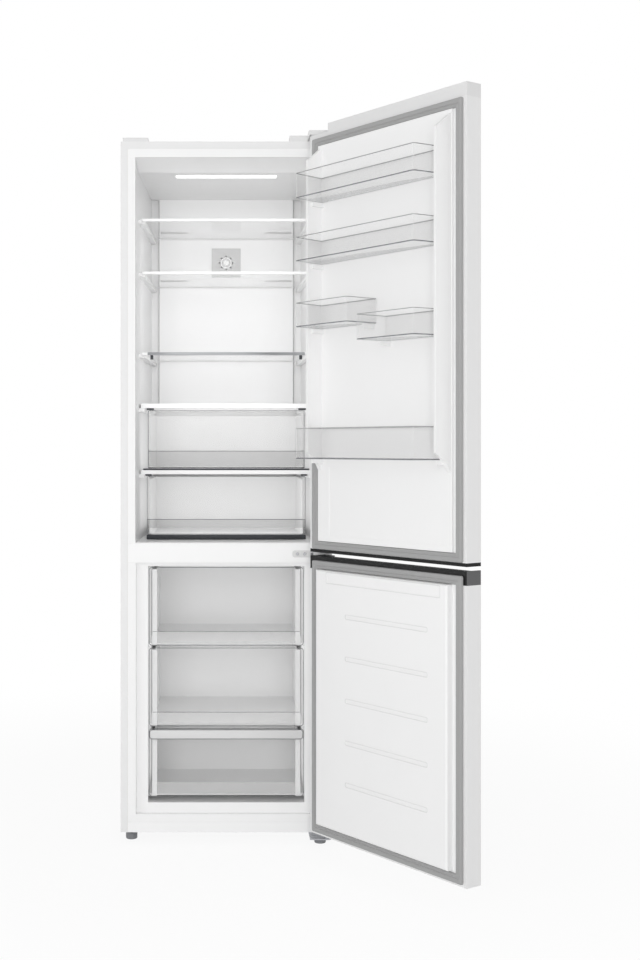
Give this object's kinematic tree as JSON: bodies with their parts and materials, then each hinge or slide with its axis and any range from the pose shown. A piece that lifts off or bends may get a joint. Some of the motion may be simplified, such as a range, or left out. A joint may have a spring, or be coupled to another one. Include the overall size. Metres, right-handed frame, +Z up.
{
  "type": "bottom freezer refrigerator",
  "caption": "Tall refrigerator over a freezer with both doors open: glass shelves, crispers, door bins and freezer drawers, standing on levelling feet and rear rollers.",
  "frame": {"origin": "On the floor under the middle of the cabinet footprint, doors left out.", "axes": "X to the right as seen from the front, Y from the doors to the back wall, Z up."},
  "size_m": [0.9168, 1.1493, 1.999],
  "materials": {
    "white_steel": "gloss",
    "bare_steel": "satin",
    "white_liner": "gloss",
    "foam": "matte",
    "grey_cap": "satin",
    "pale_cap": "satin",
    "vent_plastic": "satin",
    "lens": "gloss",
    "shelf_glass": "gloss",
    "shelf_trim": "gloss",
    "steel_trim": "satin",
    "clear_plastic": "gloss",
    "drawer_white": "gloss",
    "black_trim": "satin",
    "dark_handle": "satin",
    "seal": "matte",
    "hinge_metal": "satin",
    "screw_metal": "polished",
    "black_metal": "satin",
    "coil_metal": "satin",
    "fan_plastic": "matte",
    "foot_plastic": "satin"
  },
  "bodies": {
    "cabinet": {"outer_wrap": "white_steel", "back_panel": "bare_steel", "base_tray": "bare_steel", "fridge_liner": "white_liner", "freezer_liner": "white_liner", "front_rails": "white_steel", "cabinet_foam": "foam", "duct_panel": "white_liner", "vent_cover": "vent_plastic", "ceiling_panel": "white_liner", "light_lens": "lens", "crisper_cover_glasses": "shelf_glass", "crisper_cover_frames": "shelf_trim", "evaporator_cover": "white_liner", "evaporator": "coil_metal", "fan_motor": "fan_plastic", "compressor": "black_metal", "drip_tray": "fan_plastic", "condenser": "black_metal", "cord_gland": "black_trim", "top_hinge": "hinge_metal", "top_hinge_cover": "grey_cap", "top_left_cap": "grey_cap", "middle_hinge": "hinge_metal", "bottom_hinge": "hinge_metal", "hinge_screws": "screw_metal"},
    "fridge_door": {"fridge_door_panel": "white_steel", "fridge_door_liner": "white_liner", "fridge_door_foam": "foam", "fridge_door_top_cap": "pale_cap", "fridge_door_bottom_trim": "black_trim", "fridge_door_gasket": "seal"},
    "freezer_door": {"freezer_door_panel": "white_steel", "freezer_door_liner": "white_liner", "freezer_door_foam": "foam", "freezer_door_handle": "dark_handle", "freezer_door_gasket": "seal"},
    "shelf_1": {"shelf_glass_1": "shelf_glass", "shelf_trim_1": "shelf_trim"},
    "shelf_2": {"shelf_glass_2": "shelf_glass", "shelf_trim_2": "shelf_trim"},
    "shelf_3": {"shelf_glass_3": "shelf_glass", "shelf_trim_3": "steel_trim"},
    "upper_crisper": {"crisper_upper": "clear_plastic"},
    "lower_crisper": {"crisper_lower": "clear_plastic"},
    "top_drawer": {"freezer_drawer_top_body": "drawer_white", "freezer_drawer_top_front": "clear_plastic"},
    "middle_drawer": {"freezer_drawer_middle_body": "drawer_white", "freezer_drawer_middle_front": "clear_plastic"},
    "bottom_drawer": {"freezer_drawer_bottom_body": "drawer_white", "freezer_drawer_bottom_front": "clear_plastic"},
    "bin_1": {"door_bin_1": "clear_plastic"},
    "bin_2": {"door_bin_2": "clear_plastic"},
    "bin_3": {"door_bin_3": "clear_plastic"},
    "bin_4": {"door_bin_4": "clear_plastic"},
    "bin_5": {"door_bin_5": "clear_plastic"},
    "fan": {"fan_impeller": "fan_plastic"},
    "rollers": {"rear_rollers": "fan_plastic"},
    "left_foot": {"front_foot_left": "foot_plastic"},
    "right_foot": {"front_foot_right": "foot_plastic"}
  },
  "joints": [
    {"name": "fridge_door_swing", "type": "hinge", "parent": "cabinet", "child": "fridge_door", "pos_m": [0.2792, -0.3493, 1.413], "axis": [0, 0, 1], "range_deg": [-125.6, 9.4]},
    {"name": "freezer_door_swing", "type": "hinge", "parent": "cabinet", "child": "freezer_door", "pos_m": [0.2792, -0.3493, 0.434], "axis": [0, 0, 1], "range_deg": [-125.6, 9.4]},
    {"name": "shelf_1_pull", "type": "slide", "parent": "cabinet", "child": "shelf_1", "axis": [0, -1, 0], "range_m": [0, 0.15]},
    {"name": "shelf_2_pull", "type": "slide", "parent": "cabinet", "child": "shelf_2", "axis": [0, -1, 0], "range_m": [0, 0.15]},
    {"name": "shelf_3_pull", "type": "slide", "parent": "cabinet", "child": "shelf_3", "axis": [0, -1, 0], "range_m": [0, 0.15]},
    {"name": "upper_crisper_pull", "type": "slide", "parent": "cabinet", "child": "upper_crisper", "axis": [0, -1, 0], "range_m": [0, 0.22]},
    {"name": "lower_crisper_pull", "type": "slide", "parent": "cabinet", "child": "lower_crisper", "axis": [0, -1, 0], "range_m": [0, 0.22]},
    {"name": "top_drawer_pull", "type": "slide", "parent": "cabinet", "child": "top_drawer", "axis": [0, -1, 0], "range_m": [0, 0.3]},
    {"name": "middle_drawer_pull", "type": "slide", "parent": "cabinet", "child": "middle_drawer", "axis": [0, -1, 0], "range_m": [0, 0.3]},
    {"name": "bottom_drawer_pull", "type": "slide", "parent": "cabinet", "child": "bottom_drawer", "axis": [0, -1, 0], "range_m": [0, 0.2]},
    {"name": "bin_1_lift", "type": "slide", "parent": "fridge_door", "child": "bin_1", "axis": [0, 0, 1], "range_m": [0, 0.02]},
    {"name": "bin_2_lift", "type": "slide", "parent": "fridge_door", "child": "bin_2", "axis": [0, 0, 1], "range_m": [0, 0.02]},
    {"name": "bin_3_lift", "type": "slide", "parent": "fridge_door", "child": "bin_3", "axis": [0, 0, 1], "range_m": [0, 0.02]},
    {"name": "bin_4_lift", "type": "slide", "parent": "fridge_door", "child": "bin_4", "axis": [0, 0, 1], "range_m": [0, 0.02]},
    {"name": "bin_5_lift", "type": "slide", "parent": "fridge_door", "child": "bin_5", "axis": [0, 0, 1], "range_m": [0, 0.02]},
    {"name": "fan_spin", "type": "hinge", "parent": "cabinet", "child": "fan", "pos_m": [0, 0.1645, 0.69], "axis": [0, 1, 0], "continuous": true},
    {"name": "roller_roll", "type": "hinge", "parent": "cabinet", "child": "rollers", "pos_m": [0, 0.2625, 0.015], "axis": [1, 0, 0], "continuous": true},
    {"name": "left_foot_turn", "type": "hinge", "parent": "cabinet", "child": "left_foot", "pos_m": [-0.27, -0.2415, 0.01], "axis": [0, 0, 1], "continuous": true},
    {"name": "right_foot_turn", "type": "hinge", "parent": "cabinet", "child": "right_foot", "pos_m": [0.265, -0.2835, 0.01], "axis": [0, 0, 1], "continuous": true}
  ]
}
